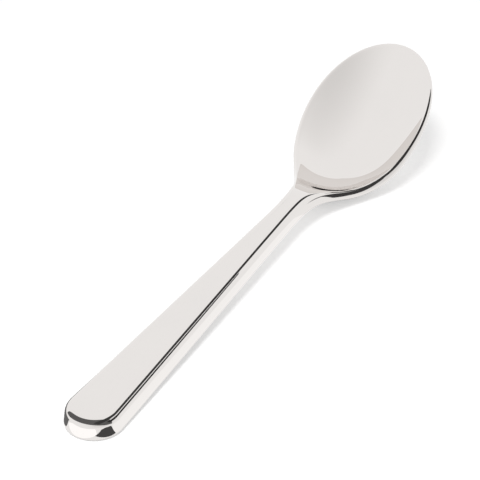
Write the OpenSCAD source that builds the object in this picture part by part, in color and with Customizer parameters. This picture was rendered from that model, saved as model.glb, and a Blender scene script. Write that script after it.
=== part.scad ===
// Coffee spoon, forged in one piece: a straight flat handle with a round end, a narrow neck
// and an oval hollow bowl.
// The spoon lies on a table at z = 0, resting on the handle's end and the bowl's underside,
// with its bowl towards +X.
// The origin lies on the table under the middle of the spoon's length.

/* [Overall] */
// Length from the handle's end to the tip of the bowl
overall_length = 135; // [120:1:160]

/* [Handle] */
// Greatest width of the handle, across its round end
handle_end_width = 12; // [9:0.1:14]
// Width to which the handle tapers at the neck
neck_width = 5.5; // [4.5:0.1:6.5]
// Thickness of the handle at its end
handle_end_thickness = 3.9; // [3.2:0.1:5]
// Thickness of the handle at the neck
neck_thickness = 3.3; // [2.8:0.1:4.6]
// Radius of the rounded edge round the flat top
top_edge_radius = 1.7; // [0.8:0.05:2]
// Radius of the rounded edge round the underside
lower_edge_radius = 0.35; // [0.15:0.05:0.6]
// Angle at which the handle's side wall leans out towards the underside
wall_lean = 7; // [0:0.5:12]

/* [Bowl outline] */
// Greatest width of the bowl
bowl_width = 28.6; // [23:0.1:33]
// Length of the half oval from the widest line to the tip
nose_length = 18.4; // [15:0.1:23]
// Length of the half oval that the heel follows from the widest line back
heel_length = 19.5; // [16:0.1:23]
// Angle between the middle line and each straight shoulder
shoulder_angle = 30.1; // [25:0.1:34]
// Width over which the handle's side and the shoulder run into each other
shoulder_blend = 8.5; // [4:0.1:10]

/* [Bowl depth] */
// Length over which the neck bends from the handle's plane to the rim's line
bend_length = 30.4; // [26:0.1:36]
// Length from the end of that bend to the widest line
bend_lead = 3.7; // [0:0.1:6]
// Height of the rim above the handle's plane at the widest line
rim_rise = 2.3; // [0.5:0.1:4]
// Angle at which the rim climbs from the handle's plane towards the tip
rim_tilt = 27.8; // [22:0.1:32]
// Drop of the rim's line at the tip below a straight line
rim_bow = 0.6; // [0:0.05:1]
// Depth of the hollow below the rim at the widest line
hollow_depth = 5.6; // [4:0.1:7]
// Shape of the hollow, from a flat floor with steep sides at 0.7 to a plain dish at 1
hollow_shape = 0.9; // [0.7:0.05:1]
// Depth within which the hollow's border rolls over softly into the rim
hollow_softness = 0.2; // [0.1:0.05:0.8]
// Length from the start of the neck's bend to the start of the hollow
hollow_lead = 5.9; // [4:0.1:8]
// Length over which the hollow's round heel opens to its full width
hollow_run = 9; // [5:0.5:14]
// Thickness of the bowl's floor at the widest line
floor_thickness = 1.4; // [1:0.1:2]
// Thickness of the rim where the shoulders begin
shoulder_rim_thickness = 2.1; // [1.6:0.1:2.8]
// Thickness of the rim at the tip
tip_rim_thickness = 1; // [0.8:0.1:1.6]
// Angle at which the rim's outer side leans out towards the underside
rim_lean = 35; // [15:1:40]

/* [Hidden] */
// Steps round the handle's end, along the neck and heel, and round the nose
end_steps = 10;
heel_steps = 40;
nose_steps = 18;
// Steps across the top, round the top edge, round the lower edge and across the underside
top_steps = 24;
edge_steps = 5;
lower_steps = 4;
under_steps = 18;
// Greatest share of the handle's thickness that its top edge's round may take
handle_round_share = 0.5;
// Shares of the rim's thickness that its upper and lower rounds take
rim_top_share = 0.18;
rim_lower_share = 0.45;
// Length over which a slope is measured
slope_step = 0.01;
// Share of the way to the widest line over which the neck thins to the bowl's floor
thinning_share = 0.8;
// Share of the neck's bend over which the handle's edge thins to the rim's thickness
edge_thinning_share = 0.5;
steel_grey = [0.78, 0.78, 0.76];

end_radius = handle_end_width / 2;
bowl_half = bowl_width / 2;
widest_x = overall_length - nose_length;
bend_start_x = widest_x - bend_lead - bend_length;
// The handle's straight sides touch the round end and narrow to the neck at the start of the bend
taper_angle = atan((end_radius - neck_width / 2) / (bend_start_x - end_radius));
touch_x = end_radius + end_radius * sin(taper_angle);
// The shoulder is the line that touches the heel's oval at the shoulder's angle
shoulder_slope = tan(shoulder_angle);
heel_slope = bowl_half / heel_length;
shoulder_share = shoulder_slope / norm([shoulder_slope, heel_slope]);
shoulder_x = widest_x - shoulder_share * heel_length;
shoulder_half = bowl_half * sqrt(1 - shoulder_share * shoulder_share);
// Half width of the hollow at the widest line
hollow_half = bowl_half - top_inset(widest_x);

function clamp01(v) = max(0, min(1, v));

// Runs from 0 to 1 with no corner or jump in curvature at either end
function ease(v) = let (u = clamp01(v)) u * u * u * (u * (6 * u - 15) + 10);

// The larger of two values, rounded over where they come within a given width of each other
function round_max(a, b, width) = let (h = max(width - abs(a - b), 0) / width)
    max(a, b) + h * h * h * width / 6;

// Share of the way through the neck's bend
function bend(x) = ease((x - bend_start_x) / bend_length);

// Half widths of the handle's straight side, of the bowl and of the whole outline
function handle_half(x) = end_radius / cos(taper_angle) - (x - end_radius) * tan(taper_angle);
function heel_half(x) = bowl_half * sqrt(1 - pow((widest_x - x) / heel_length, 2));
function bowl_side(x) = x < shoulder_x
    ? shoulder_half + shoulder_slope * (x - shoulder_x)
    : heel_half(x);
function half_width(x) = round_max(handle_half(x), bowl_side(x), shoulder_blend);
function side_slope(x) = (half_width(x + slope_step) - half_width(x - slope_step))
    / (2 * slope_step);

// Thickness of the edge all round, and the radii of its upper and lower rounds
function handle_thickness(x) = handle_end_thickness
    + (neck_thickness - handle_end_thickness) * x / bend_start_x;
function rim_thickness(x) = shoulder_rim_thickness
    + (tip_rim_thickness - shoulder_rim_thickness)
        * clamp01((x - shoulder_x) / (overall_length - shoulder_x));
function thinning(x) = ease((x - bend_start_x) / (edge_thinning_share * bend_length));
function edge_thickness(x) = let (s = thinning(x))
    handle_thickness(min(x, bend_start_x)) * (1 - s) + rim_thickness(x) * s;
function top_edge(x) = let (t = edge_thickness(x), s = thinning(x))
    min(top_edge_radius, handle_round_share * t) * (1 - s) + rim_top_share * t * s;
function lower_edge(x) = let (s = bend(x))
    lower_edge_radius * (1 - s) + rim_lower_share * edge_thickness(x) * s;

// Lean of the side wall, and how far its two rounds and its lean set the top's border inside the
// outline
function lean(x) = wall_lean + (rim_lean - wall_lean) * bend(x);
function top_inset(x) = let (a = lean(x), upper = top_edge(x), lower = lower_edge(x))
    upper * cos(a) + lower * (1 - cos(a))
        + tan(a) * (edge_thickness(x) - upper * (1 - sin(a)) - lower * (1 + sin(a)));

// Depth of the hollow below the rim at a place in plan, in a section with a given half width
// between its edges
function heel_share(x) = let (u = clamp01((x - bend_start_x - hollow_lead) / hollow_run)) u * (2 - u);
function hollow_share(x, y, half) = max(0, half * half * heel_share(x) - y * y)
    / (hollow_half * hollow_half);
function hollow(x, y, half) =
    let (d = (hollow_depth + hollow_softness) * pow(hollow_share(x, y, half), hollow_shape))
    norm([d, hollow_softness]) - hollow_softness;

// Thickness of the metal on the middle line, from the neck over the bowl's floor to the tip
function middle_thickness(x) =
    let (s = ease((x - bend_start_x) / (thinning_share * (widest_x - bend_start_x))))
    neck_thickness * (1 - s) + floor_thickness * s
        + (tip_rim_thickness - floor_thickness) * clamp01((x - widest_x) / nose_length);

// Place and half width of a section's top and of its underside, inside their rounded edges
function inward(p, d) = [p[0] - p[2] * d, p[1] - p[3] * d];
function top_place(p) = inward(p, top_inset(p[0]));
function low_place(p) = inward(p, lower_edge(p[0]));

// Depth of a section's underside below its lower edge, on the middle line and across
function belly(p) = p[0] <= bend_start_x ? 0
    : max(0, hollow(top_place(p)[0], 0, top_place(p)[1]) + middle_thickness(p[0]) - edge_thickness(p[0]));
function belly_at(p, y) = belly(p) * pow(max(0, 1 - pow(y / low_place(p)[1], 2)), hollow_shape);

// Heights of the rim's line and of the whole top edge, measured square to the handle's plane
function rim_line(x) = handle_end_thickness + rim_rise + (x - widest_x) * tan(rim_tilt)
    - rim_bow * pow((x - widest_x) / nose_length, 2);
function level_top(x) = handle_end_thickness * (1 - bend(x)) + rim_line(x) * bend(x);
function level_floor(p) = let (x = low_place(p)[0]) level_top(x) - edge_thickness(x) - belly(p);

// Outline of the left side from the handle's end to the tip, each entry a place and its outward
// direction in plan
end_arc = [for (i = [0 : end_steps - 1]) let (a = (i + 0.5) * (90 + taper_angle) / end_steps)
    [end_radius * (1 - cos(a)), end_radius * sin(a), -cos(a), sin(a)]];
handle_side = [[touch_x, handle_half(touch_x), sin(taper_angle), cos(taper_angle)]];
heel_side = [for (i = [0 : heel_steps - 1])
    let (x = bend_start_x + (widest_x - bend_start_x) * i / heel_steps, s = side_slope(x), n = norm([s, 1]))
    [x, half_width(x), -s / n, 1 / n]];
nose_arc = [for (i = [0 : nose_steps - 1])
    let (a = 90 - (i == 0 ? 0 : i + 0.5) * 90 / nose_steps,
        d = [cos(a) / nose_length, sin(a) / bowl_half], n = norm(d))
    [widest_x + nose_length * cos(a), bowl_half * sin(a), d[0] / n, d[1] / n]];
outline = concat(end_arc, handle_side, heel_side, nose_arc);

// The handle climbs from its end at the slope that sets the lowest place of the bowl's underside
// on the table
handle_rise = max([for (p = heel_side) -level_floor(p) / low_place(p)[0]]);
function edge_top(x) = level_top(x) + handle_rise * x;

// Points of the right edge of one section, from the top's border down to the underside's border
function edge_points(p) = concat(
    [for (k = [1 : edge_steps])
        let (a = (90 - lean(p[0])) * k / edge_steps, r = top_edge(p[0]),
            q = inward(p, top_inset(p[0]) - r * sin(a)))
        [q[0], q[1], edge_top(q[0]) - r * (1 - cos(a))]],
    [for (k = [0 : lower_steps - 1])
        let (a = 90 * k / lower_steps - lean(p[0]) * (1 - k / lower_steps), r = lower_edge(p[0]),
            q = inward(p, r * (1 - cos(a))))
        [q[0], q[1], edge_top(q[0]) - edge_thickness(q[0]) + r * (1 - sin(a))]]);

// One closed section: the top from left to right, the right edge down, the underside back and the
// left edge up
function section(p) = let (top = top_place(p), low = low_place(p), edge = edge_points(p))
    concat(
        [for (j = [0 : top_steps]) let (y = top[1] * cos(180 * j / top_steps))
            [top[0], y, edge_top(top[0]) - hollow(top[0], y, top[1])]],
        [for (q = edge) [q[0], -q[1], q[2]]],
        [for (j = [0 : under_steps]) let (y = -low[1] * cos(180 * j / under_steps))
            [low[0], y, edge_top(low[0]) - edge_thickness(low[0]) - belly_at(p, y)]],
        [for (j = [len(edge) - 1 : -1 : 0]) edge[j]]);

// Counts of points round a section and down its side, and the numbers of the underside's first
// point, of the last section and of the neck's first section
ring = top_steps + under_steps + 2 + 2 * (edge_steps + lower_steps);
side_steps = edge_steps + lower_steps + 1;
under_first = top_steps + side_steps;
last = len(outline) - 1;
neck = len(end_arc) + len(handle_side);

// Number of a point of a section, and of the point opposite it across the middle plane
function at(i, k) = i * ring + (k + ring) % ring;
function across(i, k) = at(i, top_steps - k + ring);

// Side walls from section to section, with the bowl's hollow and belly beyond the neck
sides = [for (i = [0 : last - 1], k = [0 : ring - 1])
    let (flat = k < top_steps || (k >= under_first && k < under_first + under_steps))
    if (i > neck || !flat)
        each [
            [at(i, k), at(i + 1, k), at(i, k + 1)],
            [at(i, k + 1), at(i + 1, k), at(i + 1, k + 1)]]];

// A flat of the handle as one face, from a section's point k at one border to the point n further
// at the other
function flat_face(k, n) = [concat(
    [for (i = [0 : neck]) at(i, k)],
    [for (i = [neck : -1 : 0]) at(i, k + n)])];

// Fans from the two corners of a flat to the row of points that follows it in the neck
function neck_fan(k, n) = concat(
    [for (j = [0 : n / 2 - 1]) [at(neck, k), at(neck + 1, k + j), at(neck + 1, k + j + 1)]],
    [[at(neck, k), at(neck + 1, k + n / 2), at(neck, k + n)]],
    [for (j = [n / 2 : n - 1]) [at(neck, k + n), at(neck + 1, k + j), at(neck + 1, k + j + 1)]]);

// Fans from the two edge points beside a row of the last section to that row, which close the tip
function tip_fan(k, n) = concat(
    [for (j = [0 : n / 2 - 1]) [at(last, k + j), at(last, k - 1), at(last, k + j + 1)]],
    [[at(last, k + n / 2), at(last, k - 1), at(last, k + n + 1)]],
    [for (j = [n / 2 : n - 1]) [at(last, k + j), at(last, k + n + 1), at(last, k + j + 1)]]);

// Narrow strips that close the handle's end and the tip across the middle plane
end_strip = [for (k = [top_steps : under_first - 1])
    [at(0, k), at(0, k + 1), across(0, k + 1), across(0, k)]];
tip_strip = [for (k = [top_steps + 1 : under_first - 2])
    [at(last, k), across(last, k), across(last, k + 1), at(last, k + 1)]];

flats = concat(flat_face(0, top_steps), flat_face(under_first, under_steps));
fans = concat(
    neck_fan(0, top_steps),
    neck_fan(under_first, under_steps),
    tip_fan(0, top_steps),
    tip_fan(under_first, under_steps));

// The whole forging, lofted through its sections
module spoon() {
    color(steel_grey)
        translate([-overall_length / 2, 0, 0])
            polyhedron(
                points = [for (p = outline) each section(p)],
                faces = concat(sides, flats, fans, end_strip, tip_strip),
                convexity = 6);
}

spoon();
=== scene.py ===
"""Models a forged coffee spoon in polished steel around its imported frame, and sets its stage."""

import math

import bmesh
import bpy
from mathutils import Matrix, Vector


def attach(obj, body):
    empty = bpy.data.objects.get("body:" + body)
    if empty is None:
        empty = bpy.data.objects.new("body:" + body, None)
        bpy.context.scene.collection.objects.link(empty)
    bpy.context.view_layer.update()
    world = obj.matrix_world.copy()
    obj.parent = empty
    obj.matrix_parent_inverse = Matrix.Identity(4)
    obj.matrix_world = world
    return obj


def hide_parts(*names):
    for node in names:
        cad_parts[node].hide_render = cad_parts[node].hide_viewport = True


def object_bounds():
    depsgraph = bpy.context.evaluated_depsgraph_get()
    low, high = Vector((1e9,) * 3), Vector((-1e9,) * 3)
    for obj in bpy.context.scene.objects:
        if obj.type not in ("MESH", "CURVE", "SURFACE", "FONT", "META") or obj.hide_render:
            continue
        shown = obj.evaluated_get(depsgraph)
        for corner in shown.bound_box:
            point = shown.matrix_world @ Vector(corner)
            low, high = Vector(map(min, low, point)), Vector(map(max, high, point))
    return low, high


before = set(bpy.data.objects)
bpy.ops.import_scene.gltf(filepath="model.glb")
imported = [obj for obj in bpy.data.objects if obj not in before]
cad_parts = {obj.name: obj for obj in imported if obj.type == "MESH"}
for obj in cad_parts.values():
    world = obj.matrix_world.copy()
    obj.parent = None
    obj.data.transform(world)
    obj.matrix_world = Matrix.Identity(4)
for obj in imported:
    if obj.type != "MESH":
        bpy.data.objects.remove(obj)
CAD_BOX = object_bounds()
CAD_SIZE = CAD_BOX[1] - CAD_BOX[0]

bl_info = {
    "name": "Coffee spoon",
    "version": (1, 0, 0),
    "blender": (4, 5, 0),
    "location": "View3D > Sidebar > Spoon",
    "description": "Models a forged coffee spoon in polished steel and sets its stage",
    "category": "Add Mesh",
}

MM = 0.001
# Pixels along each side of the photograph and the sensor's width in millimetres
FRAME_PIXELS = 480
SENSOR_WIDTH = 36.0
# Millimetres by which the tip stays inside the frame's box
BOX_CLEARANCE = 0.04
# Sockets of a Mix node that take two colours and give one
MIX_FROM, MIX_TO, MIX_COLOUR = 6, 7, 2
# Powers that thin the polishing lines out and draw the clouds together, and the clouds' part
LINE_CONTRAST, CLOUD_CONTRAST = 4.0, 2.0
CLOUD_SHARE = 0.5
WHITE = (1.0, 1.0, 1.0, 1.0)
# Openness of the floor at which the painted shade under the spoon is darkest and at which it
# ends, and the level that the steel mirrors where that painted shade is darkest
GAP_FROM, GAP_TO = 0.15, 0.6
GAP_LEVEL = 0.2
# Direction of the room's darker side, and the cosines at which its shade starts and would end
SHADE_WAY = Vector((-0.35, -0.66, 0.67)).normalized()
SHADE_FROM, SHADE_TO = 0.45, 1.1
# Power that gathers that shade towards its middle
SHADE_CONTRAST = 2.0
# Rays that measure how open the floor is
CONTACT_SAMPLES = 8
# Part of the camera's distance at which its view starts
CLIP_SHARE = 0.05
# Millimetres by which a dark and a white card lie over the floor
DARK_LIFT, WHITE_LIFT = 0.1, 0.05


def length(name, description, millimetres):
    """A length that the user may change, given in millimetres and kept in metres."""
    return bpy.props.FloatProperty(
        name=name, description=description, default=millimetres * MM,
        min=0.0, precision=5, subtype="DISTANCE", unit="LENGTH")


def angle(name, description, degrees):
    """An angle that the user may change, given in degrees and kept in radians."""
    return bpy.props.FloatProperty(
        name=name, description=description, default=math.radians(degrees),
        subtype="ANGLE", unit="ROTATION")


def share(name, description, default):
    """A part of a whole, from 0 to 1."""
    return bpy.props.FloatProperty(
        name=name, description=description, default=default, min=0.0, max=1.0, subtype="FACTOR")


def amount(name, description, default):
    """A plain number of zero or more."""
    return bpy.props.FloatProperty(name=name, description=description, default=default, min=0.0)


def count(name, description, default):
    """A whole number of steps."""
    return bpy.props.IntProperty(
        name=name, description=description, default=default, min=2, subtype="UNSIGNED")


def tint(name, description, default):
    """A linear colour."""
    return bpy.props.FloatVectorProperty(
        name=name, description=description, default=default, size=3, min=0.0, max=1.0,
        subtype="COLOR")


class SpoonSizes(bpy.types.PropertyGroup):
    """Sizes of the forging."""

    overall_length: length(
        "Overall length", "From the handle's end to the tip", CAD_SIZE.x / MM - BOX_CLEARANCE)
    handle_end_width: length("Handle end width", "Width across the round end", 12.0)
    neck_width: length("Neck width", "Width to which the handle tapers", 5.5)
    handle_end_thickness: length("Handle end thickness", "Thickness at the end", 3.9)
    neck_thickness: length("Neck thickness", "Thickness at the neck", 3.3)
    top_edge_radius: length("Top edge radius", "Round of the edge about the flat top", 1.7)
    lower_edge_radius: length("Lower edge radius", "Round of the edge below", 0.35)
    wall_lean: angle("Wall lean", "Lean of the handle's side wall out towards its foot", 7.0)
    bowl_width: length("Bowl width", "Greatest width of the bowl", CAD_SIZE.y / MM)
    nose_length: length("Nose length", "From the widest line to the tip", 18.4)
    heel_length: length("Heel length", "Half oval that the heel follows", 19.5)
    shoulder_angle: angle("Shoulder angle", "From the middle line to a shoulder", 30.1)
    shoulder_blend: length("Shoulder blend", "Width over which neck and shoulder meet", 8.5)
    bend_length: length("Bend length", "Length over which the neck bends", 30.4)
    bend_lead: length("Bend lead", "From the bend's end to the widest line", 3.7)
    rim_rise: length("Rim rise", "Height of the rim over the handle's plane", 2.3)
    rim_tilt: angle("Rim tilt", "Climb of the rim towards the tip", 27.8)
    rim_bow: length("Rim bow", "Drop of the rim at the tip below a straight line", 0.6)
    hollow_depth: length("Hollow depth", "Depth below the rim at the widest line", 5.6)
    hollow_shape: share("Hollow shape", "Flat floor with steep sides, or a plain dish at 1", 0.9)
    hollow_softness: length("Hollow softness", "Depth of the soft roll at its border", 0.3)
    hollow_lead: length("Hollow lead", "From the bend's start to the hollow's start", 5.9)
    hollow_run: length("Hollow run", "Length over which the round heel opens", 9.0)
    floor_thickness: length("Floor thickness", "Metal under the hollow", 1.4)
    shoulder_rim: length("Shoulder rim", "Thickness of the rim at the shoulders", 2.1)
    tip_rim: length("Tip rim", "Thickness of the rim at the tip", 1.0)
    rim_lean: angle("Rim lean", "Lean of the rim's outer side out towards its foot", 35.0)
    cross_steps: count("Cross steps", "Faces across the flat and the hollow", 56)
    handle_steps: count("Handle steps", "Faces along the straight handle", 40)
    heel_steps: count("Heel steps", "Faces along the neck and the heel", 120)
    nose_steps: count("Nose steps", "Faces along each side of the nose", 40)
    end_steps: count("End steps", "Faces along each side of the round end", 14)
    top_edge_steps: count("Top edge steps", "Faces over the round of the top edge", 10)
    lower_edge_steps: count("Lower edge steps", "Faces over the round of the lower edge", 8)


class SteelFinish(bpy.types.PropertyGroup):
    """Colour and polish of the steel."""

    colour: tint("Colour", "Colour that the steel gives to what it mirrors", (0.806, 0.777, 0.757))
    smear_colour: tint("Smear colour", "Colour where handling dulls it", (0.78, 0.755, 0.737))
    roughness: share("Roughness", "Roughness of the polish", 0.035)
    polish_lines: share("Polish lines", "Roughness that the polishing lines add", 0.03)
    line_length: length("Line length", "Length of a polishing line", 14.0)
    line_pitch: length("Line pitch", "Distance between polishing lines", 0.12)
    cloud_size: length("Cloud size", "Size of the soft clouds in the polish", 9.0)
    ripple_size: length("Ripple size", "Length of the faint waves that forging leaves", 7.0)
    ripple_height: length("Ripple height", "Height of those waves", 0.002)


class StageSettings(bpy.types.PropertyGroup):
    """Camera, floor and light about the spoon."""

    camera_elevation: angle("Camera elevation", "Angle above the table", 33.23)
    camera_bearing: angle("Camera bearing", "Turn from the spoon's cross line", 60.72)
    camera_distance: length("Camera distance", "From the camera to the point it aims at", 434.0)
    focal_pixels: amount("Focal length", "Focal length in pixels of the photograph", 2079.2)
    centre_x: amount("Centre across", "Pixel across at which the spoon's middle stands", 256.09)
    centre_y: amount("Centre down", "Pixel down at which the spoon's middle stands", 244.42)
    middle_height: length("Middle height", "Height of the spoon's middle over the table", 5.0)
    floor_size: length("Floor size", "Side of the pale floor", 3000.0)
    floor_colour: tint("Floor colour", "Colour of the floor", (0.8, 0.8, 0.8))
    floor_glow: amount("Floor glow", "White that the floor shows by itself", 0.47)
    # Painted contact shade: these two darken the floor's own glow near the spoon
    contact_reach: length("Contact reach", "How far the shade of a contact reaches", 6.0)
    contact_shade: share("Contact shade", "Part of the glow that a contact takes away", 0.14)
    dome_level: amount("Dome level", "Light from all round", 0.36)
    lamp_power: bpy.props.FloatProperty(
        name="Lamp power", description="Power of the soft lamp", default=2.2, min=0.0,
        unit="POWER")
    lamp_size: length("Lamp size", "Side of the soft lamp", 230.0)
    lamp_distance: length("Lamp distance", "From the lamp to the spoon", 700.0)
    lamp_left: amount("Lamp left", "Part of its height by which the lamp stands left", 0.14)
    lamp_front: amount("Lamp front", "Part of its height by which the lamp stands in front", 0.36)
    shade_colour: tint("Shade colour", "Colour of the room's darker side", (0.7, 0.695, 0.69))


def clamp01(v):
    """The value, held between 0 and 1."""
    return max(0.0, min(1.0, v))


def ease(v):
    """From 0 to 1 with no corner or jump in curvature at either end."""
    u = clamp01(v)
    return u * u * u * (u * (6.0 * u - 15.0) + 10.0)


def mix(a, b, part):
    """The value at a part of the way from a to b."""
    return a + (b - a) * part


def round_max(a, b, width):
    """The larger of two values, rounded over where they come within a width of each other."""
    h = max(width - abs(a - b), 0.0) / width
    return max(a, b) + h * h * h * width / 6.0


class Place:
    """A place on the outline in plan, with its outward direction."""

    def __init__(self, x, y, nx, ny):
        reach = math.hypot(nx, ny)
        self.x, self.y = x, y
        self.nx, self.ny = nx / reach, ny / reach

    def inward(self, distance):
        """The point that lies inside this place by a distance."""
        return self.x - self.nx * distance, self.y - self.ny * distance


class Forging:
    """Outline, thickness and heights of the spoon, measured from the handle's end."""

    SLOPE_STEP = 0.01 * MM
    # Parts of the edge's thickness that its rounds take, and of the bend that its thinning takes
    HANDLE_ROUND = 0.5
    RIM_TOP_ROUND = 0.18
    RIM_LOWER_ROUND = 0.45
    EDGE_THINNING = 0.5
    FLOOR_THINNING = 0.8
    # Corners of the grid on the round end and on the nose, and halvings in a search
    END_CORNER = math.radians(50.0)
    NOSE_CORNER = math.radians(42.0)
    HALVINGS = 44

    def __init__(self, sizes):
        s = self.s = sizes
        self.end_radius = s.handle_end_width / 2.0
        self.bowl_half = s.bowl_width / 2.0
        self.widest_x = s.overall_length - s.nose_length
        self.bend_start = self.widest_x - s.bend_lead - s.bend_length
        run = self.bend_start - self.end_radius
        self.taper = math.atan((self.end_radius - s.neck_width / 2.0) / run)
        self.touch_x = self.end_radius * (1.0 + math.sin(self.taper))
        slope = math.tan(s.shoulder_angle)
        part = slope / math.hypot(slope, self.bowl_half / s.heel_length)
        self.shoulder_slope = slope
        self.shoulder_x = self.widest_x - part * s.heel_length
        self.shoulder_half = self.bowl_half * math.sqrt(1.0 - part * part)
        self.hollow_half = self.bowl_half - self.top_inset(self.widest_x)
        self.rise = 0.0
        floors = []
        for i in range(s.heel_steps):
            place = self.side_place(mix(self.bend_start, self.widest_x, i / s.heel_steps))
            x = place.inward(self.lower_edge(place.x))[0]
            floors.append((self.belly(place) - self.foot(x)) / x)
        self.rise = max(floors)

    def bend(self, x):
        """Part of the way through the neck's bend."""
        return ease((x - self.bend_start) / self.s.bend_length)

    def half_width(self, x):
        """Half the width of the handle's sides and of the bowl back from its widest line."""
        handle = (self.end_radius / math.cos(self.taper)
                  - (x - self.end_radius) * math.tan(self.taper))
        if x < self.shoulder_x:
            bowl = self.shoulder_half + self.shoulder_slope * (x - self.shoulder_x)
        else:
            back = (self.widest_x - x) / self.s.heel_length
            bowl = self.bowl_half * math.sqrt(1.0 - back * back)
        return round_max(handle, bowl, self.s.shoulder_blend)

    def end_place(self, turn):
        """Place on the round end, turned from the middle line."""
        r, c, d = self.end_radius, math.cos(turn), math.sin(turn)
        return Place(r * (1.0 - c), r * d, -c, d)

    def side_place(self, x):
        """Place on the side from the handle's taper to the widest line."""
        step = self.SLOPE_STEP
        slope = (self.half_width(x + step) - self.half_width(x - step)) / (2.0 * step)
        return Place(x, self.half_width(x), -slope, 1.0)

    def nose_place(self, turn):
        """Place on the nose, turned from the tip."""
        c, d = math.cos(turn), math.sin(turn)
        return Place(self.widest_x + self.s.nose_length * c, self.bowl_half * d,
                     c / self.s.nose_length, d / self.bowl_half)

    def place_at(self, x, inset):
        """Place whose inset point stands at a distance along the neck or the bowl."""
        quarter = math.pi / 2.0
        widest = self.nose_place(quarter)
        on_nose = x > widest.inward(inset(widest.x))[0]
        low, high = (0.0, quarter) if on_nose else (self.touch_x, self.widest_x)
        for _ in range(self.HALVINGS):
            middle = (low + high) / 2.0
            place = self.nose_place(middle) if on_nose else self.side_place(middle)
            short = place.inward(inset(place.x))[0] < x
            if short != on_nose:
                low = middle
            else:
                high = middle
        return place

    def half_outline(self):
        """Places of the left side, from the middle of the round end to the tip."""
        s, half_cross = self.s, self.s.cross_steps // 2
        quarter = math.pi / 2.0
        last = quarter + self.taper
        places = [self.end_place(self.END_CORNER * i / half_cross) for i in range(half_cross)]
        places += [self.end_place(mix(self.END_CORNER, last, i / s.end_steps))
                   for i in range(s.end_steps)]
        places += [self.side_place(mix(self.touch_x, self.bend_start, i / s.handle_steps))
                   for i in range(s.handle_steps)]
        places += [self.side_place(mix(self.bend_start, self.widest_x, i / s.heel_steps))
                   for i in range(s.heel_steps)]
        places += [self.nose_place(mix(quarter, self.NOSE_CORNER, i / s.nose_steps))
                   for i in range(s.nose_steps)]
        places += [self.nose_place(self.NOSE_CORNER * (1.0 - i / half_cross))
                   for i in range(half_cross + 1)]
        return places

    def thinning(self, x):
        """Part of the way from the handle's edge to the rim's."""
        return ease((x - self.bend_start) / (self.EDGE_THINNING * self.s.bend_length))

    def thickness(self, x):
        """Thickness of the edge all round."""
        s = self.s
        handle = mix(s.handle_end_thickness, s.neck_thickness,
                     min(x, self.bend_start) / self.bend_start)
        along = (x - self.shoulder_x) / (s.overall_length - self.shoulder_x)
        rim = mix(s.shoulder_rim, s.tip_rim, clamp01(along))
        return mix(handle, rim, self.thinning(x))

    def top_edge(self, x):
        """Radius of the top edge's round."""
        thick = self.thickness(x)
        handle = min(self.s.top_edge_radius, self.HANDLE_ROUND * thick)
        return mix(handle, self.RIM_TOP_ROUND * thick, self.thinning(x))

    def lower_edge(self, x):
        """Radius of the lower edge's round."""
        return mix(self.s.lower_edge_radius, self.RIM_LOWER_ROUND * self.thickness(x),
                   self.bend(x))

    def lean(self, x):
        """Lean of the side wall."""
        return mix(self.s.wall_lean, self.s.rim_lean, self.bend(x))

    def top_inset(self, x):
        """How far the rounds and the lean set the top's border inside the outline."""
        lean, upper, lower = self.lean(x), self.top_edge(x), self.lower_edge(x)
        c, d = math.cos(lean), math.sin(lean)
        wall = self.thickness(x) - upper * (1.0 - d) - lower * (1.0 + d)
        return upper * c + lower * (1.0 - c) + wall * d / c

    def hollow(self, x, y, half):
        """Depth of the hollow in a section of a given half width between its rounds."""
        u = clamp01((x - self.bend_start - self.s.hollow_lead) / self.s.hollow_run)
        part = max(0.0, half * half * u * (2.0 - u) - y * y) / self.hollow_half ** 2
        soft = self.s.hollow_softness
        deep = (self.s.hollow_depth + soft) * part ** self.s.hollow_shape
        return math.hypot(deep, soft) - soft

    def middle_thickness(self, x):
        """Metal on the middle line, from the neck over the floor to the tip."""
        s = self.s
        thin = ease((x - self.bend_start)
                    / (self.FLOOR_THINNING * (self.widest_x - self.bend_start)))
        floor = mix(s.neck_thickness, s.floor_thickness, thin)
        return floor + (s.tip_rim - s.floor_thickness) * clamp01(
            (x - self.widest_x) / s.nose_length)

    def belly(self, place):
        """Depth of a section's underside below its lower edge."""
        if place.x <= self.bend_start:
            return 0.0
        x, half = place.inward(self.top_inset(place.x))
        return max(0.0, self.hollow(x, 0.0, half) + self.middle_thickness(place.x)
                   - self.thickness(place.x))

    def top(self, x):
        """Height of the top edge."""
        s = self.s
        out = x - self.widest_x
        rim = (s.handle_end_thickness + s.rim_rise + out * math.tan(s.rim_tilt)
               - s.rim_bow * (out / s.nose_length) ** 2)
        return mix(s.handle_end_thickness, rim, self.bend(x)) + self.rise * x

    def foot(self, x):
        """Height of the lower edge."""
        return self.top(x) - self.thickness(x)

    def top_height(self, x, y):
        """Height of the flat or of the hollow's floor."""
        if x <= self.bend_start:
            return self.top(x)
        place = self.place_at(x, self.top_inset)
        half = place.inward(self.top_inset(place.x))[1]
        return self.top(x) - self.hollow(x, y, half)

    def under_height(self, x, y):
        """Height of the flat underside or of the bowl's belly."""
        if x <= self.bend_start:
            return self.foot(x)
        place = self.place_at(x, self.lower_edge)
        half = place.inward(self.lower_edge(place.x))[1]
        across = max(0.0, 1.0 - (y / half) ** 2) if half > 0.0 else 0.0
        return self.foot(x) - self.belly(place) * across ** self.s.hollow_shape

    def edge_point(self, place, step):
        """Point of the edge's profile at a step down from the top's border."""
        s = self.s
        lean = self.lean(place.x)
        if step <= s.top_edge_steps:
            turn = (math.pi / 2.0 - lean) * step / s.top_edge_steps
            r = self.top_edge(place.x)
            x, y = place.inward(self.top_inset(place.x) - r * math.sin(turn))
            return x, y, self.top(x) - r * (1.0 - math.cos(turn))
        turn = mix(-lean, math.pi / 2.0, (step - s.top_edge_steps - 1) / s.lower_edge_steps)
        r = self.lower_edge(place.x)
        x, y = place.inward(r * (1.0 - math.cos(turn)))
        return x, y, self.foot(x) + r * (1.0 - math.sin(turn))


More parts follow.
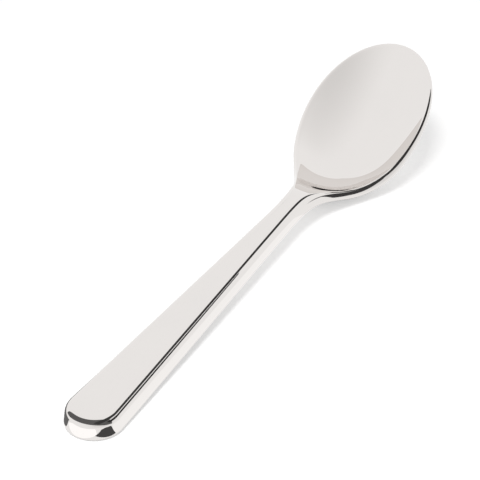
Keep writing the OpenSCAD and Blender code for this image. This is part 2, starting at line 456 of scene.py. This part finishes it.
class Wire:
    """A socket of a node tree that Python's sums and products can take in."""

    def __init__(self, tree, socket=None):
        self.tree = tree
        self.socket = socket

    def node(self, kind, settings=None, inputs=None, output=0):
        """Adds a node, makes its settings, then fills its sockets, and gives one output."""
        made = self.tree.nodes.new(kind)
        for name, value in (settings or {}).items():
            setattr(made, name, value)
        for key, value in (inputs or {}).items():
            if isinstance(value, Wire):
                self.tree.links.new(value.socket, made.inputs[key])
            else:
                made.inputs[key].default_value = value
        return Wire(self.tree, made.outputs[output] if made.outputs else None)

    def maths(self, operation, a, b):
        """A Math node on two values."""
        return self.node("ShaderNodeMath", {"operation": operation}, {0: a, 1: b})

    def __add__(self, other):
        return self.maths("ADD", self, other)

    def __radd__(self, other):
        return self.maths("ADD", other, self)

    def __mul__(self, other):
        return self.maths("MULTIPLY", self, other)

    def __rmul__(self, other):
        return self.maths("MULTIPLY", other, self)

    def __pow__(self, other):
        return self.maths("POWER", self, other)


def clear_tree(owner):
    """An empty node tree of a material or world, as a wire to build on."""
    owner.use_nodes = True
    owner.node_tree.nodes.clear()
    return Wire(owner.node_tree)


def rgba(colour):
    """A colour with full cover."""
    return (*colour, 1.0)


def blend(tree, part, a, b):
    """A colour at a part of the way from a to b."""
    return tree.node("ShaderNodeMix", {"data_type": "RGBA"}, {
        "Factor": part, MIX_FROM: rgba(a), MIX_TO: rgba(b)}, MIX_COLOUR)


def noise(tree, place, scale, detail, roughness):
    """Soft noise with a number of waves for each unit of length."""
    return tree.node("ShaderNodeTexNoise", {"noise_dimensions": "3D"}, {
        "Vector": place, "Scale": scale, "Detail": detail, "Roughness": roughness})


def polished_steel(finish):
    """Mirror-polished steel with faint polishing lines, clouds and waves."""
    material = bpy.data.materials.new("polished_steel")
    tree = clear_tree(material)
    place = tree.node("ShaderNodeTexCoord", output="Object")
    stretched = tree.node("ShaderNodeMapping", {"vector_type": "POINT"}, {
        "Vector": place,
        "Scale": (1.0 / finish.line_length, 1.0 / finish.line_pitch, 1.0 / finish.line_pitch)})
    lines = noise(tree, stretched, scale=1.0, detail=3.0, roughness=0.6)
    clouds = noise(tree, place, scale=1.0 / finish.cloud_size, detail=4.0, roughness=0.55)
    ripples = noise(tree, place, scale=1.0 / finish.ripple_size, detail=1.0, roughness=0.4)
    fine = lines ** LINE_CONTRAST
    soft = clouds ** CLOUD_CONTRAST
    roughness = finish.roughness + finish.polish_lines * (fine + CLOUD_SHARE * soft)
    colour = blend(tree, soft, finish.colour, finish.smear_colour)
    normal = tree.node("ShaderNodeBump", None, {
        "Strength": 1.0, "Distance": finish.ripple_height, "Height": ripples})
    steel = tree.node("ShaderNodeBsdfPrincipled", {"distribution": "MULTI_GGX"}, {
        "Base Color": colour, "Metallic": 1.0, "Roughness": roughness, "Normal": normal})
    tree.node("ShaderNodeOutputMaterial", None, {"Surface": steel})
    return material


def deselect_all():
    """Leaves nothing selected, so that an operator meets only what it is meant for."""
    if bpy.context.object and bpy.context.object.mode != "OBJECT":
        bpy.ops.object.mode_set(mode="OBJECT")
    bpy.ops.object.select_all(action="DESELECT")


def select_edges(mesh, wanted):
    """Selects the edges that a test names, and nothing else."""
    bpy.ops.mesh.select_mode(type="EDGE")
    bpy.ops.mesh.select_all(action="DESELECT")
    shape = bmesh.from_edit_mesh(mesh)
    for edge in shape.edges:
        if wanted(edge):
            edge.select_set(True)
    bmesh.update_edit_mesh(mesh)


class SPOON_OT_forge(bpy.types.Operator):
    """Models the spoon's one forged piece and gives it its polish"""

    bl_idname = "spoon.forge"
    bl_label = "Forge spoon"

    def execute(self, context):
        sizes = context.scene.spoon_sizes
        form = Forging(sizes)
        left = form.half_outline()
        around = [(place, 1.0) for place in left] + [(place, -1.0) for place in left[-2:0:-1]]
        shift = CAD_BOX[0].x
        corner = sizes.cross_steps // 2
        sides = (range(corner, len(left) - corner),
                 range(len(around) - len(left) + 1 + corner, len(around) - corner + 1))

        deselect_all()
        bpy.ops.mesh.primitive_circle_add(
            vertices=len(around), radius=sizes.overall_length / 2.0, fill_type="NOTHING",
            enter_editmode=True)
        spoon = context.object
        spoon.name = spoon.data.name = "coffee_spoon"
        mesh = spoon.data
        shape = bmesh.from_edit_mesh(mesh)
        seat = shape.verts.layers.int.new("seat")
        for i, vertex in enumerate(shape.verts):
            vertex[seat] = i + 1
        bmesh.update_edit_mesh(mesh)

        def lay_ring(step):
            """Places the selected ring at a step of the edge's profile."""
            shape = bmesh.from_edit_mesh(mesh)
            seat = shape.verts.layers.int["seat"]
            for vertex in shape.verts:
                if vertex.select and vertex[seat]:
                    place, side = around[vertex[seat] - 1]
                    x, y, z = form.edge_point(place, step)
                    vertex.co = (x + shift, side * y, z)
            bmesh.update_edit_mesh(mesh)

        def fill(height):
            """Fills the open ring with a grid between its two sides and sets its heights."""
            def on_side(edge):
                seat = bmesh.from_edit_mesh(mesh).verts.layers.int["seat"]
                seats = [v[seat] - 1 for v in edge.verts]
                return (not edge.is_manifold
                        and any(all(n in side for n in seats) for side in sides))

            before = len(bmesh.from_edit_mesh(mesh).verts)
            select_edges(mesh, on_side)
            bpy.ops.mesh.fill_grid()
            shape = bmesh.from_edit_mesh(mesh)
            seat = shape.verts.layers.int["seat"]
            shape.verts.ensure_lookup_table()
            for vertex in shape.verts[before:]:
                vertex[seat] = 0
                vertex.co.z = height(vertex.co.x - shift, abs(vertex.co.y))
            bmesh.update_edit_mesh(mesh)

        lay_ring(0)
        fill(form.top_height)
        for step in range(1, sizes.top_edge_steps + sizes.lower_edge_steps + 2):
            select_edges(mesh, lambda edge: edge.is_boundary)
            bpy.ops.mesh.extrude_edges_indiv()
            lay_ring(step)
        fill(form.under_height)
        bpy.ops.mesh.select_all(action="SELECT")
        bpy.ops.mesh.normals_make_consistent(inside=False)
        shape = bmesh.from_edit_mesh(mesh)
        shape.verts.layers.int.remove(shape.verts.layers.int["seat"])
        if any(not edge.is_manifold for edge in shape.edges):
            raise RuntimeError("the forging is not closed")
        bmesh.update_edit_mesh(mesh)
        bpy.ops.object.mode_set(mode="OBJECT")
        bpy.ops.object.shade_smooth()

        mesh.materials.append(polished_steel(context.scene.steel_finish))
        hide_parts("spoon")
        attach(spoon, "root")
        return {"FINISHED"}


def ray_kind(tree, *names):
    """1 for a ray of one of the named kinds, and 0 for any other."""
    kinds = [tree.node("ShaderNodeLightPath", output="Is %s Ray" % name) for name in names]
    found = kinds[0]
    for kind in kinds[1:]:
        found = tree.maths("MAXIMUM", found, kind)
    return found


def glow(tree, colour, strength):
    """A shader that shows a colour by itself."""
    return tree.node("ShaderNodeEmission", None, {"Color": colour, "Strength": strength})


def pale_floor(stage):
    """A white floor that keeps the lamp's shadow, with painted contact shade in its glow near the
    spoon, and that the steel mirrors as white but for painted shade under the spoon.
    """
    material = bpy.data.materials.new("pale_floor")
    tree = clear_tree(material)
    near = tree.node("ShaderNodeAmbientOcclusion", {"samples": CONTACT_SAMPLES}, {
        "Distance": stage.contact_reach}, "AO")
    # Painted shade for the steel to mirror: the floor's plain white is darkened under and right
    # beside the spoon by how closed in the floor is there
    painted_gap_shade = tree.node("ShaderNodeMapRange", {"interpolation_type": "SMOOTHSTEP"}, {
        "Value": near, "From Min": GAP_FROM, "From Max": GAP_TO,
        "To Min": GAP_LEVEL, "To Max": 1.0})
    # Painted contact shade: the floor's glow, which no lamp gives, is darkened where the occlusion
    # test finds the floor closed in near the spoon
    shade = stage.contact_shade
    matt = tree.node("ShaderNodeBsdfDiffuse", None, {"Color": rgba(stage.floor_colour)})
    lit = tree.node("ShaderNodeAddShader", None, {
        0: matt, 1: glow(tree, 1.0 - shade + shade * near, stage.floor_glow)})
    seen = tree.node("ShaderNodeMixShader", None, {
        0: ray_kind(tree, "Camera", "Transmission"), 1: matt, 2: lit})
    both = tree.node("ShaderNodeMixShader", None, {
        0: ray_kind(tree, "Glossy"), 1: seen, 2: glow(tree, painted_gap_shade, 1.0)})
    tree.node("ShaderNodeOutputMaterial", None, {"Surface": both})
    return material


def plain_card(name, level):
    """A card of an even grey, which shows on its front only."""
    material = bpy.data.materials.new(name)
    tree = clear_tree(material)
    behind = tree.node("ShaderNodeNewGeometry", output="Backfacing")
    card = tree.node("ShaderNodeMixShader", None, {
        0: behind, 1: glow(tree, WHITE, level), 2: tree.node("ShaderNodeBsdfTransparent")})
    tree.node("ShaderNodeOutputMaterial", None, {"Surface": card})
    return material


def white_room(stage):
    """Soft light from all round, white to the camera and white with a darker side to mirrors."""
    world = bpy.data.worlds.new("white_room")
    tree = clear_tree(world)
    way = tree.node("ShaderNodeTexCoord", output="Generated")
    towards = tree.node("ShaderNodeVectorMath", {"operation": "DOT_PRODUCT"}, {
        0: way, 1: SHADE_WAY}, "Value")
    side = tree.node("ShaderNodeMapRange", None, {
        "Value": towards, "From Min": SHADE_FROM, "From Max": SHADE_TO})
    colour = blend(tree, side ** SHADE_CONTRAST, WHITE[:3], stage.shade_colour)
    dome = tree.node("ShaderNodeBackground", None, {
        "Color": WHITE, "Strength": stage.dome_level})
    mirrored = tree.node("ShaderNodeBackground", None, {"Color": colour, "Strength": 1.0})
    white = tree.node("ShaderNodeBackground", None, {"Color": WHITE, "Strength": 1.0})
    seen = tree.node("ShaderNodeMixShader", None, {
        0: ray_kind(tree, "Camera", "Transmission"), 1: dome, 2: white})
    both = tree.node("ShaderNodeMixShader", None, {
        0: ray_kind(tree, "Glossy"), 1: seen, 2: mirrored})
    tree.node("ShaderNodeOutputWorld", None, {"Surface": both})
    return world


def add_card(name, level, along, beside, height, long, wide, far_share=1.0,
             tip=0.0, roll=0.0, turn=0.0):
    """Adds a card that only the steel mirrors.

    Millimetres place its middle along from the handle's end, beside the middle line and over
    the floor, and give its length and width. far_share is the part of its width at its far
    end, and degrees turn it about x by tip, about y by roll and about z by turn.
    """
    bpy.ops.mesh.primitive_plane_add(
        size=1.0, location=(CAD_BOX[0].x + along * MM, beside * MM, height * MM),
        rotation=[math.radians(v) for v in (tip, roll, turn)])
    card = bpy.context.object
    card.name = name
    card.scale = (long * MM, wide * MM, 1.0)
    for corner in card.data.vertices:
        if corner.co.x > 0.0:
            corner.co.y *= far_share
    card.data.materials.append(plain_card(name, level))
    for ray in ("camera", "diffuse", "transmission", "volume_scatter", "shadow"):
        setattr(card, "visible_" + ray, False)


def set_cards():
    """Sets the dark and the white cards about the spoon."""
    # Dark, over the near edge of the handle
    add_card("card_edge_line", level=0.05, along=53.0, beside=-5.0, height=20.0,
             long=123.0, wide=9.5, far_share=0.85, tip=219.0, turn=4.0)
    add_card("card_second_line", level=0.03, along=32.5, beside=-12.5, height=13.0,
             long=62.0, wide=8.0, far_share=0.25, tip=197.0, turn=9.5)
    # Dark, beside the bowl
    add_card("card_over_bowl", level=0.04, along=117.0, beside=-50.0, height=32.0,
             long=65.0, wide=80.0, far_share=1.1, tip=154.0, turn=40.0)
    add_card("card_rim_wedge", level=0.05, along=109.0, beside=-15.5, height=11.0,
             long=31.5, wide=2.5, far_share=0.9, tip=-84.5, roll=-31.0, turn=-3.5)
    # Dark, over the round end and on the floor to its right and left
    add_card("card_over_end", level=0.12, along=-9.5, beside=9.0, height=30.0,
             long=36.0, wide=183.0, far_share=3.0, tip=180.0)
    add_card("card_end_right", level=0.07, along=0.5, beside=-12.0, height=DARK_LIFT,
             long=6.0, wide=14.5, far_share=0.8, turn=-11.0)
    add_card("card_end_left", level=0.15, along=8.0, beside=20.5, height=DARK_LIFT,
             long=25.5, wide=23.5, turn=24.5)
    # Painted light: cards on the floor beside the handle and before its end, which glow brighter
    # than white and which only the steel mirrors, so that the walls' reflections are brighter
    add_card("card_wall_white", level=1.1, along=47.5, beside=-14.0, height=WHITE_LIFT,
             long=86.0, wide=18.0, turn=2.5)
    add_card("card_end_white", level=1.25, along=-8.5, beside=1.5, height=WHITE_LIFT,
             long=16.0, wide=34.0, far_share=0.35, turn=-6.5)


class SPOON_OT_stage(bpy.types.Operator):
    """Sets the floor, the light, the mirrored cards and the camera"""

    bl_idname = "spoon.stage"
    bl_label = "Set stage"

    def execute(self, context):
        scene, stage = context.scene, context.scene.spoon_stage
        bearing, elevation = stage.camera_bearing, stage.camera_elevation
        right = Vector((math.cos(bearing), -math.sin(bearing), 0.0))
        away = Vector((math.sin(bearing), math.cos(bearing), 0.0))
        up = Vector((0.0, 0.0, 1.0))
        forward = away * math.cos(elevation) - up * math.sin(elevation)
        over = away * math.sin(elevation) + up * math.cos(elevation)
        middle = up * stage.middle_height

        deselect_all()
        bpy.ops.mesh.primitive_plane_add(size=stage.floor_size)
        floor = context.object
        floor.name = "floor"
        floor.data.materials.append(pale_floor(stage))

        set_cards()
        scene.world = white_room(stage)
        lamp_way = (up - right * stage.lamp_left - away * stage.lamp_front).normalized()
        bpy.ops.object.light_add(
            type="AREA", location=middle + lamp_way * stage.lamp_distance)
        lamp = context.object
        lamp.name = "soft_lamp"
        lamp.rotation_euler = lamp_way.to_track_quat("Z", "Y").to_euler()
        lamp.data.shape = "SQUARE"
        lamp.data.size = stage.lamp_size
        lamp.data.energy = stage.lamp_power
        lamp.visible_glossy = False

        # The camera keeps its place and aims so that the spoon's middle stands at its pixel
        per_pixel = stage.camera_distance / stage.focal_pixels
        half_frame = FRAME_PIXELS / 2.0
        aim = (middle - right * (stage.centre_x - half_frame) * per_pixel
               + over * (stage.centre_y - half_frame) * per_pixel)
        eye = middle - forward * stage.camera_distance
        bpy.ops.object.camera_add(location=eye)
        camera = context.object
        camera.name = "camera"
        camera.rotation_euler = (aim - eye).to_track_quat("-Z", "Y").to_euler()
        camera.data.sensor_width = SENSOR_WIDTH
        camera.data.lens = stage.focal_pixels * SENSOR_WIDTH / FRAME_PIXELS
        camera.data.clip_start = stage.camera_distance * CLIP_SHARE
        scene.camera = camera
        scene.view_settings.view_transform = "Standard"
        return {"FINISHED"}


class SPOON_PT_parts(bpy.types.Panel):
    """Lists the spoon's piece, its sizes and its stage"""

    bl_idname = "SPOON_PT_parts"
    bl_label = "Coffee spoon"
    bl_space_type = "VIEW_3D"
    bl_region_type = "UI"
    bl_category = "Spoon"

    def draw(self, context):
        for operator, group in (
                (SPOON_OT_forge, context.scene.spoon_sizes),
                (None, context.scene.steel_finish),
                (SPOON_OT_stage, context.scene.spoon_stage)):
            box = self.layout.box()
            if operator:
                box.operator(operator.bl_idname)
            for name in group.bl_rna.properties.keys():
                if name not in ("rna_type", "name"):
                    box.prop(group, name)


GROUPS = {
    "spoon_sizes": SpoonSizes,
    "steel_finish": SteelFinish,
    "spoon_stage": StageSettings,
}
CLASSES = (*GROUPS.values(), SPOON_OT_forge, SPOON_OT_stage, SPOON_PT_parts)


def register():
    """Registers the classes and hangs their settings on the scene."""
    for item in CLASSES:
        bpy.utils.register_class(item)
    for name, group in GROUPS.items():
        setattr(bpy.types.Scene, name, bpy.props.PointerProperty(type=group))


def unregister():
    """Takes the settings and the classes away again."""
    for name in GROUPS:
        delattr(bpy.types.Scene, name)
    for item in reversed(CLASSES):
        bpy.utils.unregister_class(item)


def main():
    """Makes the spoon and its stage."""
    register()
    bpy.ops.spoon.forge()
    bpy.ops.spoon.stage()


if __name__ == "__main__":
    main()
